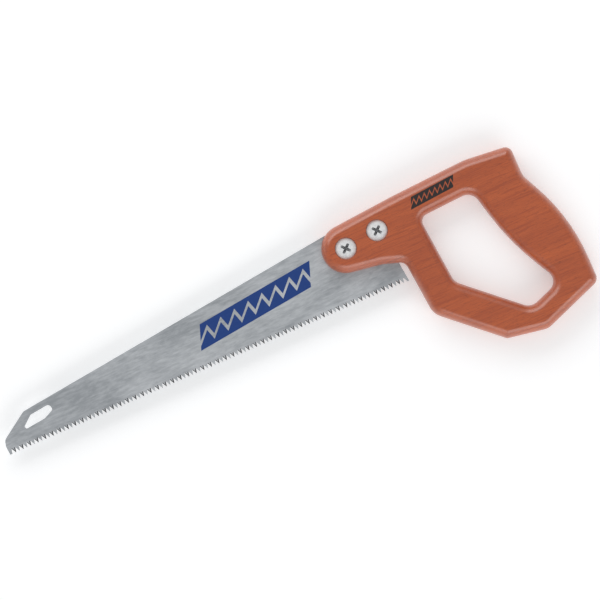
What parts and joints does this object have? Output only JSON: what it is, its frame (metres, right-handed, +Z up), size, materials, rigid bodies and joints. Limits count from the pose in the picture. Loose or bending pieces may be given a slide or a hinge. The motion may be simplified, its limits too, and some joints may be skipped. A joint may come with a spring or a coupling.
{
  "type": "drywall saw",
  "caption": "Hand saw for wallboard: tapered toothed steel blade with a slotted toe, bolted into the kerf of a closed wooden handle.",
  "frame": {"origin": "midway between the two saw bolts, on the flat side of the handle that the saw lies on", "axes": "+X along the tooth line from the toe to the handle, +Y from the teeth to the spine, +Z up through the handle's thickness"},
  "size_m": [0.5382, 0.1656, 0.022],
  "materials": {
    "lacquered_wood": "satin clear lacquer over red-brown stained beech",
    "blade_steel": "fine ground along the blade, lightly oiled",
    "plated_steel": "bright plated, fine turning marks",
    "blue_ink": "thin satin print",
    "black_ink": "thin matte print, worn"
  },
  "bodies": {
    "root": {"handle": "lacquered_wood", "blade": "blade_steel", "front_bolt": "plated_steel", "rear_bolt": "plated_steel", "front_nut": "plated_steel", "rear_nut": "plated_steel"}
  },
  "joints": []
}
